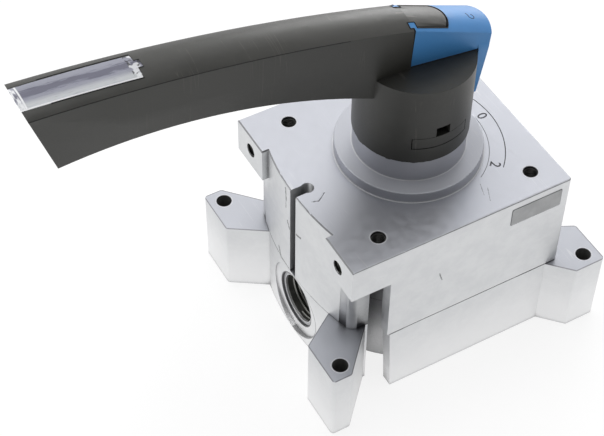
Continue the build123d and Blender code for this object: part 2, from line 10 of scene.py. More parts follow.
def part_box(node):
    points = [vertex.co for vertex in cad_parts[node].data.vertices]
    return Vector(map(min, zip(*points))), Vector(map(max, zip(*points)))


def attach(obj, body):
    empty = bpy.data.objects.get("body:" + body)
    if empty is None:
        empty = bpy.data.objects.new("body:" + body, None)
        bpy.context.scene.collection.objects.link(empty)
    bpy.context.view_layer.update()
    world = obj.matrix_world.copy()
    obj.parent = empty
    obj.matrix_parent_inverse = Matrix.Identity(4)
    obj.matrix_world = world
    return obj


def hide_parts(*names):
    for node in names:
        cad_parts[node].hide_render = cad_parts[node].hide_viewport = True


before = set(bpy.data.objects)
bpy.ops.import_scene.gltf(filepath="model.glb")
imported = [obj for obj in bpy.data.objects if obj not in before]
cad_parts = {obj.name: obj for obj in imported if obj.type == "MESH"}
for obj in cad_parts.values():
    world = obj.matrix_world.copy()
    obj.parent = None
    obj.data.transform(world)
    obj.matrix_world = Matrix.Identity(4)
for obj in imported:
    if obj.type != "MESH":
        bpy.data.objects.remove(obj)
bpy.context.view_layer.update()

# Hand lever air valve. Metres, in the frame of the CAD: the lever turns about the Z axis, the feet
# stand on z = 0, and the lever points along -X, over the port that the photograph shows.

mm = 0.001
plateTop = 83 * mm
seam = 35 * mm
sideFace = 44.7 * mm  # centre line to the housing's side faces
collarRadius = 29 * mm
collarTop = 87.7 * mm
neckRadius = 22 * mm
hubLow = 98 * mm
portHeight = 17.5 * mm
portOff = 20 * mm  # the two side ports from the axis, along X

print("stage: materials")


class Wire:
    # One socket. Python's operators add Math nodes, so 1 - mask works.
    def __init__(self, graph, socket):
        self.graph, self.socket = graph, socket

    def maths(self, operation, a, b=None):
        sockets = {0: a} if b is None else {0: a, 1: b}
        return self.graph.node("Math", {"operation": operation}, sockets)[0]

    def __add__(self, other): return self.maths("ADD", self, other)
    def __radd__(self, other): return self.maths("ADD", other, self)
    def __sub__(self, other): return self.maths("SUBTRACT", self, other)
    def __rsub__(self, other): return self.maths("SUBTRACT", other, self)
    def __mul__(self, other): return self.maths("MULTIPLY", self, other)
    def __rmul__(self, other): return self.maths("MULTIPLY", other, self)
    def __truediv__(self, other): return self.maths("DIVIDE", self, other)
    def __gt__(self, other): return self.maths("GREATER_THAN", self, other)
    def __lt__(self, other): return self.maths("LESS_THAN", self, other)
    def __abs__(self): return self.maths("ABSOLUTE", self)
    def larger(self, other): return self.maths("MAXIMUM", self, other)
    def root(self): return self.maths("SQRT", self)


class Graph:
    # A node tree being built. Shader nodes go by their short names, other nodes by their full ones.
    def __init__(self, tree):
        self.tree = tree
        self.tree.nodes.clear()

    def node(self, kind, settings=None, sockets=None):
        made = self.tree.nodes.new(kind if "Node" in kind else "ShaderNode" + kind)
        for key, value in (settings or {}).items():
            setattr(made, key, value)
        for key, value in (sockets or {}).items():
            if isinstance(value, Wire):
                self.tree.links.new(value.socket, made.inputs[key])
            else:
                made.inputs[key].default_value = value
        return [Wire(self, s) for s in made.outputs if s.enabled]


class Paint(Graph):
    # A material, or the world, being built.
    def __init__(self, name, owner=None):
        self.owner = owner or bpy.data.materials.new(name)
        self.owner.use_nodes = True
        super().__init__(self.owner.node_tree)

    def place(self, stretch=(1, 1, 1), turn=(0, 0, 0)):
        here = self.node("TexCoord")[3]
        return self.node("Mapping", {}, {"Vector": here, "Scale": stretch, "Rotation": turn})[0]

    def parts(self, vector):
        return self.node("SeparateXYZ", {}, {0: vector})

    def noise(self, size, detail=3, rough=0.55, where=None):
        where = where or self.place()
        sockets = {"Vector": where, "Scale": 1 / size, "Detail": detail, "Roughness": rough}
        return self.node("TexNoise", {}, sockets)[0]

    def cells(self, size, where=None):
        sockets = {"Vector": where or self.place(), "Scale": 1 / size}
        return self.node("TexVoronoi", {}, sockets)[0]

    def ramp(self, value, low, high, start=0.0, end=1.0):
        sockets = {0: value, 1: low, 2: high, 3: start, 4: end}
        return self.node("MapRange", {"clamp": True, "interpolation_type": "SMOOTHSTEP"}, sockets)[0]

    def mix(self, share, a, b):
        # Colours go through Mix, never through Math.
        sockets = {0: share, 6: colour(a), 7: colour(b)}
        return self.node("Mix", {"data_type": "RGBA"}, sockets)[0]

    def bump(self, height, depth, strength=1.0):
        return self.node("Bump", {}, {"Height": height, "Distance": depth, "Strength": strength})[0]

    def stroke(self, start, end, width):
        # A mark along a straight line in space, soft at its edge and ragged by a little noise.
        line = Vector(end) - Vector(start)
        way = tuple(line.normalized())
        away = self.node("VectorMath", {"operation": "SUBTRACT"}, {0: self.place(), 1: start})[0]
        along = self.node("VectorMath", {"operation": "DOT_PRODUCT"}, {0: away, 1: way})[0]
        along = self.node("Clamp", {}, {0: along, 1: 0.0, 2: line.length})[0]
        foot = self.node("VectorMath", {"operation": "SCALE"}, {0: way, "Scale": along})[0]
        gap = self.node("VectorMath", {"operation": "DISTANCE"}, {0: away, 1: foot})[0]
        ragged = gap + self.ramp(self.noise(0.8 * mm, 2), 0.3, 0.7, 0, 0.5 * width)
        return self.ramp(ragged, 0.35 * width, width, 1, 0)

    def principled(self, sockets):
        shader = self.node("BsdfPrincipled", {}, sockets)[0]
        self.node("OutputMaterial", {}, {"Surface": shader})
        return self.owner


def colour(value):
    if isinstance(value, (tuple, list)) and len(value) == 3:
        return tuple(value) + (1,)
    return value


castMetal = {
    "light": (0.765, 0.775, 0.785),
    "dark": (0.70, 0.71, 0.725),
    "machined": (0.635, 0.65, 0.705),
    # The feet's level tops: painted shade, darker and bluer than their sides.
    "footTopShade": (0.585, 0.60, 0.65),
    # Colour towards the floor: painted light from the white floor.
    "low": (0.97, 0.97, 0.975),
    "worn": (0.86, 0.865, 0.87),
    # Near black: the scratches and the seam's dark joint, and also the painted shade in corners, gaps and round
    # the ports.
    "mark": (0.055, 0.055, 0.06),
    # Dark tone of the painted shade on top edges, on the collar's sides and along the feet's edges.
    "rim": (0.26, 0.26, 0.28),
    # Colour of the painted highlights round the holes and at the foot of the collar and the neck.
    "foot": (0.80, 0.81, 0.84),
    "grain": 0.3 * mm,
    "grainDepth": 0.02 * mm,
    "patch": 11 * mm,
    "speck": 1.6 * mm,
    "rough": 0.47,
    "machinedRough": 0.38,
    "ring": 0.35 * mm,  # turning marks round the collar
    "turnedRough": 0.42,
    "cornerShade": 4 * mm,  # reach of the darker tone in slots and corners
    # Reach of the painted shade in the deep gaps between the blocks:
    "gap": 16 * mm,
}

# Scratches on the casting: start, end and width in millimetres.
scratchMarks = (
    ((-50.93, 5.95, 80.5), (-50.96, 5.5, 74.6), 0.95),
    ((-50.95, 5.6, 74.6), (-50.95, 5.7, 69.5), 0.45),
    ((-51.0, 4.4, 63.1), (-51.05, 2.6, 60.0), 0.8),
    ((-51.05, -2.9, 62.1), (-50.95, -5.9, 63.0), 0.85),
    ((-50.4, 12.5, 38.9), (-50.6, 10.6, 35.2), 1.1),
    ((-50.6, 10.4, 34.4), (-50.8, 5.6, 35.4), 0.5),
    ((-46.9, -7.0, 83.0), (-44.2, -7.9, 83.0), 0.45),
    ((-44.2, -7.9, 83.0), (-40.3, -5.2, 83.0), 0.35),
    ((-12.0, -44.7, 60.0), (-10.6, -44.7, 55.5), 0.5),
    ((13.6, -30.0, 83.0), (11.8, -35.5, 83.0), 0.16),
    ((15.0, -33.0, 83.0), (12.2, -39.0, 83.0), 0.16),
)


# The feet's top outlines by |x| and |y| in millimetres, front pair and rear pair.
footOutlines = (
    (-1, ((48.0, 23.9), (63.3, 34.1), (63.3, 54.0), (55.2, 54.0), (38.0, 35.5))),
    (1, ((45.4, 25.0), (63.3, 34.1), (63.3, 54.0), (49.5, 54.0), (40.0, 44.2))),
)


def footEdgeShade(p, x, y, z, radius):
    # Painted shade: a thin dark line along the feet's top edges.
    lines = None
    for end, corners in footOutlines:
        past = None
        for a, b in zip(corners, corners[1:]):
            run = Vector((b[0] - a[0], b[1] - a[1])).normalized()
            across, along = run.y, -run.x
            reach = abs(x) * across + abs(y) * along - (a[0] * across + a[1] * along) * mm
            past = reach if past is None else past.larger(reach)
        line = p.ramp(past, -0.5 * mm, -0.25 * mm) * (x * end > 0)
        lines = line if lines is None else lines.larger(line)
    return lines * (z > seam - 0.25 * mm) * (z < seam + 0.05 * mm) * (radius > 52 * mm)


def makeCastMetal(name, topHeight):
    # Bead-blasted casting: fine grain and small specks; faces cut flat at topHeight are smoother.
    p = Paint(name)
    x, y, z = p.parts(p.place())
    facing = p.parts(p.node("TexCoord")[1])[2]
    radius = (x * x + y * y).root()
    turned = (z > topHeight + 0.2 * mm) * (radius < collarRadius + 0.2 * mm)
    level = (p.ramp(facing, 0.9, 0.97) * (z > topHeight - 0.2 * mm)).larger(turned)
    patch = p.noise(castMetal["patch"], 3)
    cloud = p.noise(castMetal["patch"] * 0.3, 4)
    grain = p.noise(castMetal["grain"], 2, 0.7)
    coarse = p.noise(castMetal["grain"] * 3, 3, 0.6)
    speck = p.ramp(p.cells(castMetal["speck"]), 0.06, 0.16, 1, 0) * p.ramp(cloud, 0.5, 0.62)
    shade = p.mix(p.ramp(patch * 0.5 + cloud * 0.5, 0.36, 0.64), castMetal["dark"], castMetal["light"])
    # On the lower housing the feet's level tops take the darker, bluer tone of painted shade.
    shade = p.mix(level, shade, castMetal["machined" if topHeight > seam else "footTopShade"])
    shade = p.mix(p.ramp(grain, 0.4, 0.75, 0.0, 0.16), shade, castMetal["dark"])
    shade = p.mix(speck * 0.22, shade, (0.42, 0.42, 0.43))
    scratch = fineScratches(p) * level
    shade = p.mix(scratch * 0.35, shade, castMetal["worn"])
    rings = p.noise(castMetal["ring"], 2, 0.6, p.node("CombineXYZ", {}, {0: radius, 1: z})[0])
    height = (grain + coarse) * (1 - level * 0.6) - speck * 0.8 - scratch * 0.3
    height = height * (1 - turned) + rings * turned * 0.12
    # Painted shade: a dark line on the rounded edges just below each top face.
    rim = p.ramp(facing, 0.15, 0.4) * p.ramp(facing, 0.85, 0.96, 1, 0)
    rim = rim * (z > topHeight - 0.8 * mm) * (z < topHeight + 0.02 * mm) * (radius > collarRadius + mm)
    shade = p.mix(rim * 0.75, shade, castMetal["rim"])
    # Painted light: faces other than the level ones grow lighter below 42 mm, towards the white floor.
    shade = p.mix(p.ramp(z, 0, 42 * mm, 0.8, 0.0) * (1 - level), shade, castMetal["low"])
    side = p.ramp(facing, 0.3, 0.7, 1, 0)
    # Painted shade: the turned collar's upright sides darker than its top.
    shade = p.mix(turned * side * 0.45, shade, castMetal["rim"])
    for start, end, width in scratchMarks:
        mark = p.stroke([v * mm for v in start], [v * mm for v in end], width * mm)
        shade = p.mix(mark * 0.8, shade, castMetal["mark"])
        height = height - mark * 2.0
    # Painted shade in slots, holes, corners and deep gaps, from ambient occlusion.
    cornerShade = p.node("AmbientOcclusion", {"samples": 10}, {"Distance": castMetal["cornerShade"]})[1]
    shade = p.mix(p.ramp(cornerShade, 0.15, 0.75, 0.85, 0.0) * (1 - turned), shade, castMetal["mark"])
    gap = p.node("AmbientOcclusion", {"samples": 8}, {"Distance": castMetal["gap"]})[1]
    shade = p.mix(p.ramp(gap, 0.08, 0.45, 0.85, 0.0) * (1 - turned), shade, castMetal["mark"])
    # Painted shade on the round wall behind the corner gaps.
    barrelShade = (radius > 38.5 * mm) * (radius < 40 * mm) * side * (z < 78 * mm)
    shade = p.mix(barrelShade * p.ramp(z, 6 * mm, 34 * mm, 0.15, 0.85), shade, castMetal["mark"])
    if topHeight > seam:
        plain = (x < -40 * mm) * (y < 3 * mm)
        shade = p.mix((z < seam + 0.4 * mm) * (0.85 - plain * 0.65), shade, castMetal["mark"])
    else:
        # Painted shade along the feet's top edges.
        shade = p.mix(footEdgeShade(p, x, y, z, radius) * 0.8, shade, castMetal["rim"])
    # Painted shadow rings round the ports; painted highlights on the chamfers and round the screw holes.
    grooveShade, bright = mouthShadeAndHighlights(p, x, y, z)
    shade = p.mix(grooveShade * 0.85, shade, castMetal["mark"])
    # Painted highlights at the foot of the collar and of the neck.
    bright = bright.larger(footHighlight(p, radius, z, collarRadius, plateTop))
    bright = bright.larger(footHighlight(p, radius, z, neckRadius, collarTop))
    shade = p.mix(bright, shade, castMetal["foot"])
    normal = p.bump(height, castMetal["grainDepth"])
    tone = p.ramp(cloud, 0.3, 0.7, castMetal["rough"] - 0.03, castMetal["rough"] + 0.03)
    rough = tone - level * (castMetal["rough"] - castMetal["machinedRough"])
    rough = rough + turned * (castMetal["turnedRough"] - castMetal["machinedRough"])
    edge = p.ramp(facing, 0.1, 0.3) * p.ramp(facing, 0.85, 0.97, 1, 0)
    rough = rough + turned * edge * 0.25
    metallic = 0.88 - (bright * 0.8).larger(turned * p.ramp(facing, 0.8, 0.95) * 0.55)
    return p.principled({"Base Color": shade, "Metallic": metallic, "Roughness": rough, "Normal": normal})


def footHighlight(p, radius, z, stem, level):
    # A painted highlight at the foot of the collar and of the neck.
    near = lineAt(p, radius, stem + 0.3 * mm, 0.36 * mm)
    return near * (z > level - 0.3 * mm) * (z < level + 0.6 * mm)


def lineAt(p, value, place, half):
    # A soft line where the value passes the place.
    return p.ramp(abs(value - place), 0.4 * half, half, 1, 0)


def mouthShadeAndHighlights(p, x, y, z):
    # Round each port a painted shadow ring at the edge of its counterbore and a painted highlight on its
    # chamfer; round each screw hole a painted highlight on its rim.
    height = z - portHeight
    endPort = (y * y + height * height).root()
    off = abs(x) - portOff
    sidePort = (off * off + height * height).root()
    onEnd = (abs(x) > 41 * mm) * (abs(y) < 15 * mm)
    onSide = (y > 38 * mm) * (abs(x) < 36 * mm)
    grooveShade = lineAt(p, endPort, 12.1 * mm, 0.5 * mm) * onEnd
    grooveShade = grooveShade.larger(lineAt(p, sidePort, 12.1 * mm, 0.5 * mm) * onSide)
    # Painted shadow at the spot face's edge, on its -Y half.
    spotFace = lineAt(p, endPort, 16.9 * mm, 0.36 * mm) * (abs(x) > 41 * mm) * (y < 0)
    grooveShade = grooveShade.larger(spotFace * 0.65)
    bright = lineAt(p, endPort, 11.1 * mm, 0.6 * mm) * onEnd
    bright = bright.larger(lineAt(p, sidePort, 11.1 * mm, 0.6 * mm) * onSide)
    for across, along, hole, top in ((57, 48, 3.5, seam), (34, 34, 3.25, plateTop)):
        a = abs(x) - across * mm
        b = abs(y) - along * mm
        rim = lineAt(p, (a * a + b * b).root(), hole * mm, 0.3 * mm)
        bright = bright.larger(rim * (z > top - 0.4 * mm) * (z < top + 0.1 * mm) * 0.7)
    return grooveShade, bright


def contactShade(p, shade, reach, share):
    # Painted shade where another piece or a step is very near, drawn as a dark outline.
    clear = p.node("AmbientOcclusion", {"samples": 8}, {"Distance": reach})[1]
    return p.mix(p.ramp(clear, 0.15, 0.8, share, 0.0), shade, (0.005, 0.005, 0.006))


def fineScratches(p):
    # Faint handling marks: stretched noise in two directions, cut to thin lines.
    marks = None
    for turn, length in ((0.5, 26), (-0.9, 34)):
        thin = p.place((length, 1, 1), (0, 0, turn))
        lines = p.noise(0.3, 2, 0.5, thin)
        found = p.ramp(abs(lines - 0.5), 0.0, 0.004, 1, 0)
        marks = found if marks is None else marks.larger(found)
    return marks * p.ramp(p.noise(16 * mm, 2), 0.54, 0.62)


leverPlastic = {
    "base": (0.030, 0.030, 0.026),
    "lift": (0.040, 0.040, 0.035),
    "scuff": (0.16, 0.15, 0.13),
    # Blade sides: painted light, lighter towards the tip.
    "side": (0.060, 0.060, 0.054),
    # Blade top: painted sheen on the upward faces.
    "top": (0.078, 0.077, 0.072),
    # Hub's lower band: painted shade.
    "skirtShade": (0.012, 0.012, 0.010),
    "grain": 0.42 * mm,
    "grainDepth": 0.014 * mm,
    "rough": 0.43,
}

# Rubbed places on the lever's top, beside the cap: start, end and width in millimetres.
scuffMarks = (
    ((-9.5, 0.5, 155.3), (-6.0, 0.2, 154.1), 0.5),
    ((-6.5, -1.6, 154.2), (-2.5, -2.0, 152.6), 0.4),
)


def makeLeverPlastic(name):
    p = Paint(name)
    grain = p.noise(leverPlastic["grain"], 2, 0.65)
    cloud = p.noise(17 * mm, 3)
    marks = fineScratches(p)
    shade = p.mix(p.ramp(cloud, 0.35, 0.68), leverPlastic["base"], leverPlastic["lift"])
    x, _, z = p.parts(p.place())
    _, across, facing = p.parts(p.node("TexCoord")[1])
    side = p.ramp(abs(across), 0.7, 0.95)
    # Painted light: the blade's side faces grow lighter towards its tip.
    shade = p.mix(side * p.ramp(x, -90 * mm, -35 * mm, 0.65, 0.0), shade, leverPlastic["side"])
    # Painted sheen: upward faces above 138 mm lighter, more so towards the hub.
    top = p.ramp(facing, 0.6, 0.9) * p.ramp(z, 138 * mm, 144 * mm)
    shade = p.mix(top * p.ramp(x, -90 * mm, -20 * mm, 0.1, 0.5), shade, leverPlastic["top"])
    # Painted shade: the hub darker towards its lower edge.
    shade = p.mix(p.ramp(z, hubLow, hubLow + 16 * mm, 0.5, 0.0), shade, leverPlastic["skirtShade"])
    shade = p.mix(marks * 0.25, shade, leverPlastic["scuff"])
    for start, end, width in scuffMarks:
        mark = p.stroke([v * mm for v in start], [v * mm for v in end], width * mm)
        shade = p.mix(mark * 0.6, shade, leverPlastic["scuff"])
    # Painted shade where other pieces come near.
    shade = contactShade(p, shade, 1.8 * mm, 0.9)
    normal = p.bump(grain - marks * 0.3, leverPlastic["grainDepth"])
    tone = p.ramp(cloud, 0.3, 0.7, leverPlastic["rough"] - 0.03, leverPlastic["rough"] + 0.03)
    rough = tone + p.ramp(grain, 0.3, 0.7, -0.03, 0.03)
    return p.principled({"Base Color": shade, "Roughness": rough, "Normal": normal})


# The cap's side faces take painted light.
capPlastic = {"base": (0.050, 0.24, 0.58), "lift": (0.058, 0.27, 0.63), "cheekLight": (0.10, 0.40, 0.90),
              "grain": 0.4 * mm, "rough": 0.44}


def makeCapPlastic(name):
    p = Paint(name)
    grain = p.noise(capPlastic["grain"], 2, 0.65)
    cloud = p.noise(10 * mm, 3)
    shade = p.mix(p.ramp(cloud, 0.3, 0.7), capPlastic["base"], capPlastic["lift"])
    side = abs(p.parts(p.node("TexCoord")[1])[1])
    # Painted light: the cap's side faces lighter than its crown.
    shade = p.mix(p.ramp(side, 0.75, 0.95) * 0.75, shade, capPlastic["cheekLight"])
    # Painted shade where the lever comes near.
    shade = contactShade(p, shade, 1.1 * mm, 0.85)
    normal = p.bump(grain, 0.012 * mm)
    rough = p.ramp(cloud, 0.3, 0.7, capPlastic["rough"] - 0.03, capPlastic["rough"] + 0.03)
    return p.principled({"Base Color": shade, "Roughness": rough, "Normal": normal})


def makeTurned(name, base, rough, ring=0.25 * mm, metallic=1.0):
    # Lathe marks: fine rings about the turning axis.
    p = Paint(name)
    x, y, z = p.parts(p.place())
    radius = (x * x + y * y).root()
    rings = p.noise(ring, 2, 0.6, p.node("CombineXYZ", {}, {0: radius, 1: z})[0])
    shade = p.mix(p.ramp(rings, 0.3, 0.7), [c * 0.82 for c in base], base)
    sockets = {"Base Color": shade, "Metallic": metallic, "Normal": p.bump(rings, 0.01 * mm)}
    sockets["Roughness"] = p.ramp(rings, 0.3, 0.7, rough, rough + 0.1)
    return p.principled(sockets)


def makePlain(name, base, rough, grain=0.3 * mm, metallic=0.0, spread=0.85):
    # Small or hidden pieces: soft colour variation and a fine grain.
    p = Paint(name)
    cloud = p.noise(6 * mm, 3)
    fine = p.noise(grain, 2, 0.6)
    shade = p.mix(p.ramp(cloud, 0.3, 0.7), [c * spread for c in base], base)
    sockets = {"Base Color": shade, "Metallic": metallic, "Normal": p.bump(fine, 0.012 * mm)}
    sockets["Roughness"] = p.ramp(fine, 0.3, 0.7, rough - 0.05, rough + 0.05)
    return p.principled(sockets)


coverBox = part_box("label_window")
clearCover = {
    "pale": (0.52, 0.53, 0.63),
    "streak": (0.17, 0.17, 0.235),
    "low": (0.92, 0.95, 0.97),
    # Colours of the painted highlights and of the painted shade:
    "bright": (0.97, 0.98, 1.0),
    "shadow": (0.012, 0.012, 0.014),
    "band": 0.5 * mm,  # middle of the darker band across the cover
    "bandHalf": 1.9 * mm,
    "line": 0.42 * mm,
    "nib": 4.4 * mm,
    "alpha": 0.66,
}


def makeClear(name):
    # Moulded clear cover over the strip: drag lines along it, a paler zone towards the near edge, a painted
    # highlight along the near edge, painted shade along the far one, and painted glints and shade on the facets
    # at its inner end.
    p = Paint(name)
    x, y = p.parts(p.place())[:2]
    left, near = coverBox[0][:2]
    right, far = coverBox[1][:2]
    drag = p.noise(0.7 * mm, 4, 0.65, p.place((0.05, 1, 1)))
    wander = p.noise(8 * mm, 2)
    offset = abs(y - clearCover["band"] + (wander - 0.5) * 1.5 * mm) + (drag - 0.5) * 5 * mm
    band = p.ramp(offset, 0.45 * clearCover["bandHalf"], 1.15 * clearCover["bandHalf"], 1, 0)
    shade = p.mix(p.ramp(y, near * 0.75, near * 0.3, 1, 0), clearCover["pale"], clearCover["low"])
    shade = p.mix(band * 0.85, shade, clearCover["streak"])
    shade = p.mix(p.ramp(drag, 0.5, 0.75, 0, 0.35), shade, clearCover["streak"])
    line = clearCover["line"]
    nearEdge = p.ramp(y, near + line, near + 1.5 * line, 1, 0)
    endLine = p.ramp(abs(x - left - 2.3 * mm), 0.5 * line, line, 1, 0)
    endGlint = (x < left + 1.9 * mm) * p.ramp(p.noise(1.3 * mm, 2, 0.5, p.place((1, 0.35, 1))), 0.42, 0.58)
    facet = (x > right - clearCover["nib"]) * p.ramp(p.noise(3.2 * mm, 1), 0.5, 0.56)
    # Painted highlights: the near edge, a line across the outer end, glints at that end and on the inner
    # facets.
    bright = nearEdge.larger(endLine).larger(endGlint).larger(facet * 0.75)
    shade = p.mix(bright, shade, clearCover["bright"])
    facetShade = (x > right - clearCover["nib"]) * p.ramp(p.noise(2.1 * mm, 1), 0.4, 0.46, 1, 0)
    # Painted shade along the far edge and among the facets.
    dark = p.ramp(y, far - 1.5 * line, far - line).larger(facetShade * 0.8)
    shade = p.mix(dark, shade, clearCover["shadow"])
    alpha = (bright.larger(dark) * (0.95 - clearCover["alpha"])) + clearCover["alpha"]
    rough = p.ramp(wander, 0.3, 0.7, 0.14, 0.24)
    return p.principled({"Base Color": shade, "Roughness": rough, "Alpha": alpha,
                         "Normal": p.bump(drag, 0.02 * mm)})


paperStrip = {"light": (0.42, 0.42, 0.50), "dark": (0.17, 0.17, 0.22)}


def makePaper(name):
    # Pale paper, its fibres drawn out along the strip.
    p = Paint(name)
    fibre = p.noise(0.5 * mm, 4, 0.7, p.place((0.06, 1, 1)))
    shade = p.mix(p.ramp(fibre, 0.42, 0.75, 0, 0.5), paperStrip["light"], paperStrip["dark"])
    return p.principled({"Base Color": shade, "Roughness": 0.7, "Normal": p.bump(fibre, 0.01 * mm)})


finishes = {
    "castUpper": makeCastMetal("cast upper housing", plateTop),
    "castLower": makeCastMetal("cast lower housing", seam),
    "lever": makeLeverPlastic("lever plastic"),
    # Near black for the painted shade bead on the lever's creases and for the dark joint line round the cap.
    "creaseShadeAndJoint": makePlain("lever crease", (0.006, 0.006, 0.005), 0.62),
    "cap": makeCapPlastic("cap plastic"),
    "capMark": makePlain("cap mark", (0.018, 0.075, 0.20), 0.45),
    # Threads and bore walls darker than the casting: painted shade inside the holes.
    "thread": makePlain("thread metal", (0.32, 0.32, 0.30), 0.36, metallic=1.0),
    "tapThreadShade": makePlain("tapped thread metal", (0.11, 0.11, 0.105), 0.36, metallic=0.9),
    "bore": makePlain("bore wall", (0.12, 0.12, 0.112), 0.5, metallic=0.6),
    "tapBoreShade": makePlain("tapped bore wall", (0.018, 0.018, 0.018), 0.55, metallic=0.3),
    "footBoreShade": makePlain("foot bore wall", (0.22, 0.22, 0.215), 0.5, metallic=0.3),
    # The engraved lines and digits are dark from the paint in them together with painted shade inside them.
    "grooveShade": makePlain("engraved groove", (0.09, 0.09, 0.10), 0.6),
    "digitGroove": makePlain("engraved digit", (0.20, 0.20, 0.215), 0.6),
    "label": makePlain("blank label film", (0.70, 0.71, 0.72), 0.36),
    "labelEdge": makePlain("label film edge", (0.30, 0.31, 0.33), 0.5),
    "clear": makeClear("clear cover"),
    "paper": makePaper("label strip paper"),
    "steel": makeTurned("turned steel", (0.55, 0.56, 0.57), 0.3),
    "springSteel": makePlain("spring steel", (0.5, 0.5, 0.52), 0.35, metallic=1.0),
    "screwSteel": makePlain("zinc plated steel", (0.58, 0.59, 0.6), 0.38, metallic=1.0),
    "rubber": makePlain("seal rubber", (0.03, 0.03, 0.03), 0.6),
    "bearing": makeTurned("bearing plastic", (0.68, 0.64, 0.52), 0.5, metallic=0.0),
    "disc": makeTurned("ground disc plastic", (0.75, 0.75, 0.72), 0.45, metallic=0.0),
}

cadFinish = {
    "housing_screws": "screwSteel", "housing_seal": "rubber", "seat_disc": "steel",
    "port_seals": "rubber", "seat_dowels": "screwSteel", "detent_ring": "steel",
    "bearing_bush": "bearing", "thrust_washer": "bearing", "wiper_ring": "rubber",
    "spindle": "steel", "shaft_seal": "rubber", "rotary_disc": "disc", "cup_springs": "springSteel",
    "drive_pins": "screwSteel", "detent_springs": "springSteel", "detent_ball_front": "screwSteel",
    "detent_ball_rear": "screwSteel", "label_strip": "paper",
}

for node, finish in cadFinish.items():
    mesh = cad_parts[node].data
    mesh.materials.clear()
    mesh.materials.append(finishes[finish])

print("stage: finished housing and lever forms")


def addObject(name, mesh):
    made = bpy.data.objects.new(name, mesh)
    bpy.context.scene.collection.objects.link(made)
    return made


def applyModifiers(piece):
    # Leaves a plain mesh with nothing live on it.
    graph = bpy.context.evaluated_depsgraph_get()
    mesh = bpy.data.meshes.new_from_object(piece.evaluated_get(graph))
    piece.modifiers.clear()
    piece.data = mesh


def meshOf(work, name):
    mesh = bpy.data.meshes.new(name)
    work.to_mesh(mesh)
    work.free()
    return mesh


def mergedCopy(node):
    # The CAD mesh is loose triangles, so they are merged.
    work = bmesh.new()
    work.from_mesh(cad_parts[node].data)
    bmesh.ops.remove_doubles(work, verts=work.verts, dist=0.002 * mm)
    return work


def joinFlats(work):
    # Joins the triangles that lie in one plane.
    limits = {"angle_limit": radians(0.4), "use_dissolve_boundaries": False}
    bmesh.ops.dissolve_limit(work, verts=work.verts, edges=work.edges, **limits)


def widenHole(work, hole):
    # Opens a bore from its core size to the thread's root, so that a real thread fits in it.
    axis = Vector(hole["axis"])
    mouth = Vector(hole["mouth"])
    for vert in work.verts:
        depth = (mouth - vert.co).dot(axis)
        side = (vert.co - mouth) + axis * depth
        if abs(side.length - hole["core"]) < 0.03 * mm and -0.1 * mm < depth < hole["depth"]:
            vert.co += side.normalized() * (hole["root"] - hole["core"])


def soften(work, width):
    # Rounds the sharp edges that have room for it, as a mould or a blasted casting has them.
    def roomAt(edge):
        return min(other.calc_length() for vert in edge.verts for other in vert.link_edges)
    sharp = [e for e in work.edges if len(e.link_faces) == 2 and e.calc_face_angle() > radians(35)]
    chosen = [e for e in sharp if roomAt(e) > 2.1 * width]
    rounding = {"offset": width, "offset_type": "OFFSET", "segments": 3, "profile": 0.5}
    bmesh.ops.bevel(work, geom=chosen, affect="EDGES", clamp_overlap=True, **rounding)


def smoothShade(piece, angle=38):
    for face in piece.data.polygons:
        face.use_smooth = True
    piece.data.set_sharp_from_angle(angle=radians(angle))
    flat = piece.modifiers.new("flat faces stay flat", "WEIGHTED_NORMAL")
    flat.keep_sharp = True
    flat.weight = 60
    applyModifiers(piece)


def dress(piece, finish, body, slot, *nodes):
    if finish:
        piece.data.materials.append(finishes[finish])
    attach(piece, body)
    if nodes:
        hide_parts(*nodes)
    return piece


portThread = {"core": 9.5 * mm, "root": 10.48 * mm, "pitch": 1.814 * mm, "depth": 16.2 * mm}
screwThread = {"core": 2.5 * mm, "root": 3.02 * mm, "pitch": 1.0 * mm}


def portHoles():
    places = {
        "front": ((-47.4, 0, 17.5), (-1, 0, 0)), "rear": ((43.3, 0, 17.5), (1, 0, 0)),
        "left": ((-20, 42, 17.5), (0, 1, 0)), "right": ((20, 42, 17.5), (0, 1, 0)),
    }
    return [dict(portThread, mouth=[v * mm for v in spot], axis=axis) for spot, axis in places.values()]


def tapHoles():
    top = [((34 * a, 34 * b, 83), (0, 0, 1), 16.1) for a in (-1, 1) for b in (-1, 1)]
    front = [((-51.1, 34 * b, 75.4), (-1, 0, 0), 12.1) for b in (-1, 1)]
    return [dict(screwThread, mouth=[v * mm for v in spot], axis=axis, depth=depth * mm)
            for spot, axis, depth in top + front]


def footHoles():
    foot = {"core": 3.2 * mm, "root": 3.2 * mm, "depth": 40 * mm}
    spots = [(57 * a * mm, 48 * b * mm, seam) for a in (-1, 1) for b in (-1, 1)]
    return [dict(foot, mouth=spot, axis=(0, 0, 1)) for spot in spots]


def shadeBores(piece, holes, finish):
    # Faces inside the holes get a dark metal: painted shade inside the bore.
    piece.data.materials.append(finishes[finish])
    index = len(piece.data.materials) - 1
    for face in piece.data.polygons:
        for hole in holes:
            axis, mouth = Vector(hole["axis"]), Vector(hole["mouth"])
            depth = (mouth - face.center).dot(axis)
            side = (face.center - mouth) + axis * depth
            if side.length < hole["root"] + 0.02 * mm and 0.7 * mm < depth < hole["depth"] + 2 * mm:
                face.material_index = index


edgeRounding = {"upper_housing": 0.35 * mm, "lower_housing": 0.25 * mm, "lever": 0.3 * mm,
                "pointer_cap": 0.25 * mm, "hub_clip": 0.15 * mm, "label_window": 0.2 * mm}


def finishedForm(node, finish, body, slot, holes=()):
    work = mergedCopy(node)
    for hole in holes:
        widenHole(work, hole)
    joinFlats(work)
    soften(work, edgeRounding[node])
    piece = addObject(node + "_finished", meshOf(work, node + "_finished"))
    return dress(piece, finish, body, slot, node)


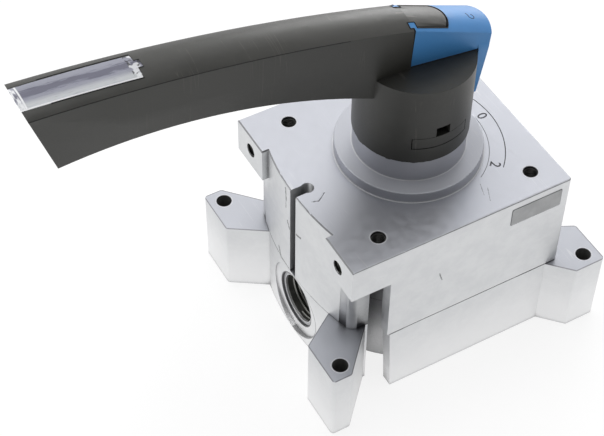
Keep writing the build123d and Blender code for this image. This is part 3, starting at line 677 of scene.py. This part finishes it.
upper = finishedForm("upper_housing", "castUpper", "housing", "cast_aluminium", tapHoles())
lower = finishedForm("lower_housing", "castLower", "housing", "cast_aluminium", portHoles())
shadeBores(upper, tapHoles(), "tapBoreShade")
shadeBores(lower, portHoles(), "bore")
shadeBores(lower, footHoles(), "footBoreShade")
smoothShade(lower)
smoothShade(finishedForm("lever", "lever", "lever", "lever_plastic"))
smoothShade(finishedForm("hub_clip", "lever", "lever", "lever_plastic"))
smoothShade(finishedForm("label_window", "clear", "lever", "clear_plastic"))
cap = finishedForm("pointer_cap", "cap", "lever", "cap_plastic")
smoothShade(cap)

print("stage: dial, engraved into the plate")

dial = {
    "outerRadius": 37.7 * mm, "outerHalfAngle": 46, "innerRadius": 31.5 * mm, "innerHalfAngle": 60,
    "line": 0.36 * mm, "innerLine": 0.22 * mm, "depth": 0.25 * mm,
    "digits": (("0", 0), ("2", -45), ("1", 45)),
    "digitRadius": 34.5 * mm, "digitHeight": 4.2 * mm,
}


def arcBar(work, radius, width, halfAngle, low, high):
    # A closed bar of square section that follows an arc about the turning axis.
    steps = 72
    loops = []
    for i in range(steps + 1):
        angle = radians(-halfAngle + 2 * halfAngle * i / steps)
        corners = []
        for r, z in ((radius - width / 2, low), (radius + width / 2, low),
                     (radius + width / 2, high), (radius - width / 2, high)):
            corners.append(work.verts.new((r * cos(angle), r * sin(angle), z)))
        loops.append(corners)
    for a, b in zip(loops, loops[1:]):
        for k in range(4):
            work.faces.new((a[k], a[(k + 1) % 4], b[(k + 1) % 4], b[k]))
    work.faces.new(loops[0])
    work.faces.new(loops[-1])


def digitMesh(letter, height, thickness):
    # A closed plain digit, centred, with its top along +Y.
    text = bpy.data.curves.new("digit", "FONT")
    text.body = letter
    text.extrude = thickness / 2
    text.align_x = "CENTER"
    text.resolution_u = 6
    text.offset = 0.008
    piece = addObject("digit", text)
    mesh = bpy.data.meshes.new_from_object(piece.evaluated_get(bpy.context.evaluated_depsgraph_get()))
    bpy.data.objects.remove(piece)
    lowest = min(v.co.y for v in mesh.vertices)
    highest = max(v.co.y for v in mesh.vertices)
    left = min(v.co.x for v in mesh.vertices)
    right = max(v.co.x for v in mesh.vertices)
    scale = height / (highest - lowest)
    middle = Vector(((left + right) / 2, (lowest + highest) / 2, 0))
    mesh.transform(Matrix.Diagonal((scale, scale, 1, 1)) @ Matrix.Translation(-middle))
    return mesh


def engraveDial():
    low, high = plateTop - dial["depth"], plateTop + dial["depth"]
    work = bmesh.new()
    arcBar(work, dial["outerRadius"], dial["line"], dial["outerHalfAngle"], low, high)
    work.faces.ensure_lookup_table()
    outerFaces = len(work.faces)
    arcBar(work, dial["innerRadius"], dial["innerLine"], dial["innerHalfAngle"], low, high)
    for letter, angle in dial["digits"]:
        digit = digitMesh(letter, dial["digitHeight"], high - low)
        turn = radians(angle)
        spot = Vector((cos(turn), sin(turn), 0)) * dial["digitRadius"] + Vector((0, 0, plateTop))
        digit.transform(Matrix.Translation(spot) @ Matrix.Rotation(turn - pi / 2, 4, "Z"))
        work.from_mesh(digit)
    work.faces.ensure_lookup_table()
    for face in work.faces[outerFaces:]:
        face.material_index = 1
    bmesh.ops.remove_doubles(work, verts=work.verts, dist=0.001 * mm)
    bmesh.ops.recalc_face_normals(work, faces=work.faces)
    cutter = addObject("dial cutter", meshOf(work, "dial cutter"))
    cutter.data.materials.append(finishes["grooveShade"])
    cutter.data.materials.append(finishes["digitGroove"])
    cut = upper.modifiers.new("engraving", "BOOLEAN")
    cut.operation = "DIFFERENCE"
    cut.object = cutter
    cut.solver = "EXACT"
    cut.material_mode = "TRANSFER"
    applyModifiers(upper)
    bpy.data.objects.remove(cutter)
    smoothShade(upper)


engraveDial()

print("stage: threads")


def threadTree():
    # One thread: a ridge of three-sided section swept along a helix, put in every hole of the mesh.
    tree = bpy.data.node_groups.new("thread in holes", "GeometryNodeTree")
    tree.interface.new_socket("Holes", in_out="INPUT", socket_type="NodeSocketGeometry")
    for name in ("Root Radius", "Core Radius", "Pitch", "Length"):
        tree.interface.new_socket(name, in_out="INPUT", socket_type="NodeSocketFloat")
    tree.interface.new_socket("Metal", in_out="INPUT", socket_type="NodeSocketMaterial")
    tree.interface.new_socket("Thread", in_out="OUTPUT", socket_type="NodeSocketGeometry")
    g = Graph(tree)
    holes, root, core, pitch, length, metal = g.node("NodeGroupInput")[:6]
    height = (root - core + 0.05 * mm) / 1.5  # a three-sided circle is 1.5 radii high
    path = core + height
    helix = g.node("GeometryNodeCurveSpiral", {}, {"Resolution": 40, "Rotations": length / pitch,
                   "Start Radius": path, "End Radius": path, "Height": length})[0]
    helix = g.node("GeometryNodeSetCurveNormal", {"mode": "Z_UP"}, {"Curve": helix})[0]
    ridge = g.node("GeometryNodeCurvePrimitiveCircle", {}, {"Resolution": 3, "Radius": 1.0})[0]
    size = g.node("CombineXYZ", {}, {0: height * -1, 1: pitch * 0.44, 2: 1.0})[0]
    ridge = g.node("GeometryNodeTransform", {}, {"Geometry": ridge, "Scale": size})[0]
    sweep = {"Curve": helix, "Profile Curve": ridge, "Fill Caps": True}
    thread = g.node("GeometryNodeCurveToMesh", {}, sweep)[0]
    inward = g.node("GeometryNodeInputNamedAttribute", {"data_type": "FLOAT_VECTOR"}, {"Name": "inward"})[0]
    turn = g.node("FunctionNodeAlignRotationToVector", {"axis": "Z"}, {"Vector": inward})[0]
    placed = {"Points": holes, "Instance": thread, "Rotation": turn}
    placed = g.node("GeometryNodeInstanceOnPoints", {}, placed)[0]
    placed = g.node("GeometryNodeRealizeInstances", {}, {"Geometry": placed})[0]
    placed = g.node("GeometryNodeSetMaterial", {}, {"Geometry": placed, "Material": metal})[0]
    g.node("NodeGroupOutput", {}, {0: placed})
    return tree


threads = threadTree()


def cutThreads(name, holes, sizes, start, finish):
    points = [Vector(hole["mouth"]) - Vector(hole["axis"]) * start for hole in holes]
    mesh = bpy.data.meshes.new(name)
    mesh.from_pydata([tuple(p) for p in points], [], [])
    inward = mesh.attributes.new("inward", "FLOAT_VECTOR", "POINT")
    for item, hole in zip(inward.data, holes):
        item.vector = [-v for v in hole["axis"]]
    piece = addObject(name, mesh)
    modifier = piece.modifiers.new("threads", "NODES")
    modifier.node_group = threads
    values = dict(sizes, Metal=finishes[finish])
    for item in threads.interface.items_tree:
        if item.in_out == "INPUT" and item.name in values:
            modifier[item.identifier] = values[item.name]
    applyModifiers(piece)
    work = bmesh.new()
    work.from_mesh(piece.data)
    bmesh.ops.recalc_face_normals(work, faces=work.faces)
    work.to_mesh(piece.data)
    work.free()
    return dress(piece, None, "housing", "cast_aluminium")


portSizes = {"Root Radius": portThread["root"], "Core Radius": portThread["core"],
             "Pitch": portThread["pitch"], "Length": 13.2 * mm}
cutThreads("port_threads", portHoles(), portSizes, 1.4 * mm, "thread")
tapSizes = {"Root Radius": screwThread["root"], "Core Radius": screwThread["core"],
            "Pitch": screwThread["pitch"]}
cutThreads("plate_threads", tapHoles()[:4], dict(tapSizes, Length=14.6 * mm), 0.8 * mm, "tapThreadShade")
cutThreads("pad_threads", tapHoles()[4:], dict(tapSizes, Length=10.4 * mm), 0.8 * mm, "tapThreadShade")

# The dark bead along the lever's creases is painted shade.
print("stage: mould line along the lever's creases")


def beadTree():
    # A round bead along the edges of the mesh it is given.
    tree = bpy.data.node_groups.new("bead on edges", "GeometryNodeTree")
    tree.interface.new_socket("Edges", in_out="INPUT", socket_type="NodeSocketGeometry")
    tree.interface.new_socket("Radius", in_out="INPUT", socket_type="NodeSocketFloat")
    tree.interface.new_socket("Plastic", in_out="INPUT", socket_type="NodeSocketMaterial")
    tree.interface.new_socket("Bead", in_out="OUTPUT", socket_type="NodeSocketGeometry")
    g = Graph(tree)
    edges, radius, plastic = g.node("NodeGroupInput")[:3]
    path = g.node("GeometryNodeMeshToCurve", {}, {"Mesh": edges})[0]
    ring = g.node("GeometryNodeCurvePrimitiveCircle", {}, {"Resolution": 6, "Radius": radius})[0]
    sweep = {"Curve": path, "Profile Curve": ring, "Fill Caps": True}
    bead = g.node("GeometryNodeCurveToMesh", {}, sweep)[0]
    bead = g.node("GeometryNodeRealizeInstances", {}, {"Geometry": bead})[0]
    bead = g.node("GeometryNodeSetMaterial", {}, {"Geometry": bead, "Material": plastic})[0]
    g.node("NodeGroupOutput", {}, {0: bead})
    return tree


beads = beadTree()


def layBead(name, node, radius, finish, chosen):
    # Lays a bead along the node's edges that chosen(ends, normals) picks.
    work = mergedCopy(node)
    joinFlats(work)
    work.normal_update()
    lines = bmesh.new()
    for edge in work.edges:
        if len(edge.link_faces) != 2 or edge.calc_face_angle() < radians(30):
            continue
        ends = [v.co for v in edge.verts]
        normals = sorted((f.normal for f in edge.link_faces), key=lambda n: -n.z)
        if chosen(ends, normals):
            lines.edges.new([lines.verts.new(end) for end in ends])
    work.free()
    bmesh.ops.remove_doubles(lines, verts=lines.verts, dist=0.01 * mm)
    piece = addObject(name, meshOf(lines, name))
    modifier = piece.modifiers.new("bead", "NODES")
    modifier.node_group = beads
    values = {"Radius": radius, "Plastic": finishes[finish]}
    for item in beads.interface.items_tree:
        if item.in_out == "INPUT" and item.name in values:
            modifier[item.identifier] = values[item.name]
    applyModifiers(piece)
    return dress(piece, None, "lever", "lever_plastic")


crease = {"radius": 0.2 * mm, "tip": -150.4 * mm, "joint": -24 * mm, "low": 140 * mm, "far": 7 * mm}


def onCrease(ends, normals):
    # The blade's top meets its sides in a crease; a dark bead along it is painted shade.
    flat, steep = normals
    inside = all(crease["tip"] < end.x < crease["joint"] and end.z > crease["low"] for end in ends)
    inside = inside and ends[0].y < crease["far"]
    return inside and flat.z > 0.6 and abs(steep.y) > 0.85 and abs(steep.z) < 0.35


layBead("lever_crease_shade", "lever", crease["radius"], "creaseShadeAndJoint", onCrease)

capJoint = {"radius": 0.22 * mm, "reach": 1.5 * mm, "low": 126 * mm, "front": 16 * mm}
leverSurface = BVHTree.FromBMesh(mergedCopy("lever"))


def onCapJoint(ends, normals):
    # The dark joint line where the cap's rim and tabs lie on the lever.
    middle = (ends[0] + ends[1]) / 2
    near = leverSurface.find_nearest(middle)[3] < capJoint["reach"]
    inside = middle.z > capJoint["low"] and middle.x < capJoint["front"]
    return near and inside and max(n.z for n in normals) > -0.3


layBead("cap_joint_line", "pointer_cap", capJoint["radius"], "creaseShadeAndJoint", onCapJoint)

print("stage: label film, cap mark and mould flash")

labelFilm = {"left": 19 * mm, "right": 42 * mm, "top": 79.4 * mm, "bottom": 70.4 * mm, "thick": 0.12 * mm,
             "corner": 0.6 * mm, "rim": 0.22 * mm}


def roundedOutline(left, right, low, high, corner, steps=5):
    points = []
    for cx, cz, start in ((right - corner, high - corner, 0), (left + corner, high - corner, 90),
                          (left + corner, low + corner, 180), (right - corner, low + corner, 270)):
        for i in range(steps + 1):
            angle = radians(start + 90 * i / steps)
            points.append((cx + corner * cos(angle), cz + corner * sin(angle)))
    return points


def makeLabel(name, finish, inset, thick):
    # Blank film on the side face, where the real valve has its printed label.
    left, right = labelFilm["left"] + inset, labelFilm["right"] - inset
    low, high = labelFilm["bottom"] + inset, labelFilm["top"] - inset
    work = bmesh.new()
    outline = roundedOutline(left, right, low, high, labelFilm["corner"])
    face = work.faces.new([work.verts.new((x, -sideFace, z)) for x, z in outline])
    grown = bmesh.ops.extrude_face_region(work, geom=[face])["geom"]
    moved = [v for v in grown if isinstance(v, bmesh.types.BMVert)]
    bmesh.ops.translate(work, verts=moved, vec=(0, -thick, 0))
    bmesh.ops.recalc_face_normals(work, faces=work.faces)
    return dress(addObject(name, meshOf(work, name)), finish, "housing", "cast_aluminium")


makeLabel("label_film_edge", "labelEdge", 0, labelFilm["thick"])
makeLabel("label_film", "label", labelFilm["rim"], labelFilm["thick"] * 1.5)

capMark = {"middle": (22.0 * mm, -1.4 * mm), "radius": 1.15 * mm, "tail": 1.25 * mm, "wire": 0.3 * mm,
           "from": 150, "to": 430}


def makeCapMark():
    # A small plain hook on the crown: an open ring with a short straight tail, half sunk in the cap.
    cx, cy = capMark["middle"]
    path = []
    for i in range(22):
        angle = radians(capMark["from"] + (capMark["to"] - capMark["from"]) * i / 21)
        path.append((cx + capMark["radius"] * cos(angle), cy + capMark["radius"] * sin(angle)))
    first = path[0]
    path.insert(0, (first[0] - 0.35 * capMark["tail"], first[1] + capMark["tail"]))
    crown = BVHTree.FromObject(cap, bpy.context.evaluated_depsgraph_get())
    line = bpy.data.curves.new("cap mark", "CURVE")
    line.dimensions = "3D"
    line.bevel_depth = capMark["wire"]
    line.bevel_resolution = 2
    line.use_fill_caps = True
    spline = line.splines.new("POLY")
    spline.points.add(len(path) - 1)
    for point, (x, y) in zip(spline.points, path):
        hit = crown.ray_cast(Vector((x, y, 0.3)), Vector((0, 0, -1)))[0]
        point.co = (x, y, hit.z - 0.62 * capMark["wire"], 1)
    piece = addObject("cap_mark", line)
    mesh = bpy.data.meshes.new_from_object(piece.evaluated_get(bpy.context.evaluated_depsgraph_get()))
    bpy.data.objects.remove(piece)
    dress(addObject("cap_mark", mesh), "capMark", "lever", "cap_plastic")


makeCapMark()

flash = {"outer": 22.5 * mm, "inner": 22.15 * mm, "drop": 1.1 * mm, "seed": 7, "steps": 240,
         "from": 130, "to": 262, "least": 0.06 * mm}


def makeFlash():
    # Ragged mould flash round the hub's lower edge, longest under the blade's near side.
    draw = random.Random(flash["seed"])
    work = bmesh.new()
    loops = []
    ragged = 0.5
    for i in range(flash["steps"]):
        degrees = 360 * i / flash["steps"]
        ragged = min(1, max(0.05, ragged + draw.uniform(-0.28, 0.28)))
        share = (degrees - flash["from"]) / (flash["to"] - flash["from"])
        reach = max(0.0, sin(pi * share)) ** 0.5 if 0 < share < 1 else 0.0
        drop = flash["least"] + flash["drop"] * reach * ragged
        a = radians(degrees)
        middle = (flash["outer"] + flash["inner"]) / 2
        loops.append([work.verts.new((r * cos(a), r * sin(a), z)) for r, z in (
            (flash["outer"], hubLow + 0.2 * mm), (middle, hubLow - drop), (flash["inner"], hubLow + 0.2 * mm))])
    for a, b in zip(loops, loops[1:] + loops[:1]):
        for k in range(3):
            work.faces.new((a[k], a[(k + 1) % 3], b[(k + 1) % 3], b[k]))
    bmesh.ops.recalc_face_normals(work, faces=work.faces)
    dress(addObject("hub_flash", meshOf(work, "hub_flash")), "lever", "lever", "lever_plastic")


makeFlash()

print("stage: floor, light and camera")

camera = {
    "azimuth": -29.81, "elevation": 49.01, "roll": 0.648,
    "distance": 611.1 * mm, "target": (-46.2 * mm, 1.4 * mm, 65 * mm),
    "lens": 94.02, "sensor": 36,
}


def makeCamera():
    data = bpy.data.cameras.new("camera")
    data.lens, data.sensor_width, data.sensor_fit = camera["lens"], camera["sensor"], "HORIZONTAL"
    data.clip_start, data.clip_end = 0.01, 20
    piece = addObject("camera", data)
    az, el, roll = (radians(camera[key]) for key in ("azimuth", "elevation", "roll"))
    back = Vector((sin(az) * cos(el), -cos(az) * cos(el), sin(el)))
    right = (-back).cross(Vector((0, 0, 1))).normalized()
    up = back.cross(right)
    rolledRight = cos(roll) * right + sin(roll) * up
    rolledUp = cos(roll) * up - sin(roll) * right
    turned = Matrix((rolledRight, rolledUp, back))
    place = Vector(camera["target"]) + back * camera["distance"]
    piece.matrix_world = Matrix.Translation(place) @ turned.transposed().to_4x4()
    bpy.context.scene.camera = piece


lamps = {
    "overhead": {"place": (-0.1, 0.25, 1.1), "size": 0.6, "power": 3.6},
    "back": {"place": (0.75, 0.75, 0.3), "size": 0.5, "power": 3.5},
}


def makeLamps():
    for name, setting in lamps.items():
        data = bpy.data.lights.new(name + " light", "AREA")
        data.size, data.energy = setting["size"], setting["power"]
        piece = addObject(name + "_light", data)
        place = Vector(setting["place"])
        piece.location = place
        piece.rotation_euler = (place - Vector((0, 0, 60 * mm))).to_track_quat("Z", "Y").to_euler()


sky = {
    "bright": 0.92, "top": 0.35, "brightUpTo": 0.70, "topFrom": 0.92,
    "behind": (0.497, 0.868), "front": 0.2, "frontFrom": -0.35, "behindFrom": 0.12,
}


def makeWorld():
    # A white studio: bright backdrop behind the object, dimmer overhead and on the side that it faces.
    p = Paint("studio", bpy.context.scene.world or bpy.data.worlds.new("studio"))
    bpy.context.scene.world = p.owner
    x, y, z = p.parts(p.node("TexCoord")[0])
    behind = x * sky["behind"][0] + y * sky["behind"][1]
    share = p.ramp(behind, sky["frontFrom"], sky["behindFrom"])
    backdrop = p.ramp(z, sky["brightUpTo"], sky["topFrom"], sky["bright"], sky["top"])
    level = backdrop * share + (1 - share) * sky["front"]
    strength = p.node("LightPath")[0].larger(level)
    light = p.node("Background", {}, {"Color": (1, 1, 1, 1), "Strength": strength})[0]
    p.node("OutputWorld", {}, {"Surface": light})


floor = {"size": 3, "cloth": (0.8, 0.8, 0.8, 1), "glow": 0.84, "shadowShare": (0.24, 0.24, 0.24, 1)}


def makeFloor():
    # White where it is seen or mirrored, with the object's soft shadow; plain cloth for other light.
    work = bmesh.new()
    bmesh.ops.create_grid(work, x_segments=1, y_segments=1, size=floor["size"])
    piece = addObject("floor", meshOf(work, "floor"))
    p = Paint("white floor")
    cloth = p.node("BsdfDiffuse", {}, {"Color": floor["cloth"]})[0]
    glow = p.node("Emission", {}, {"Strength": floor["glow"]})[0]
    shadow = p.node("BsdfDiffuse", {}, {"Color": floor["shadowShare"]})[0]
    white = p.node("AddShader", {}, {0: glow, 1: shadow})[0]
    rays = p.node("LightPath")
    seen = rays[0].larger(rays[3]).larger(rays[6])
    both = p.node("MixShader", {}, {0: seen, 1: cloth, 2: white})[0]
    p.node("OutputMaterial", {}, {"Surface": both})
    piece.data.materials.append(p.owner)


makeCamera()
makeLamps()
makeWorld()
makeFloor()
bpy.context.scene.view_settings.view_transform = "Standard"

print("stage: done")
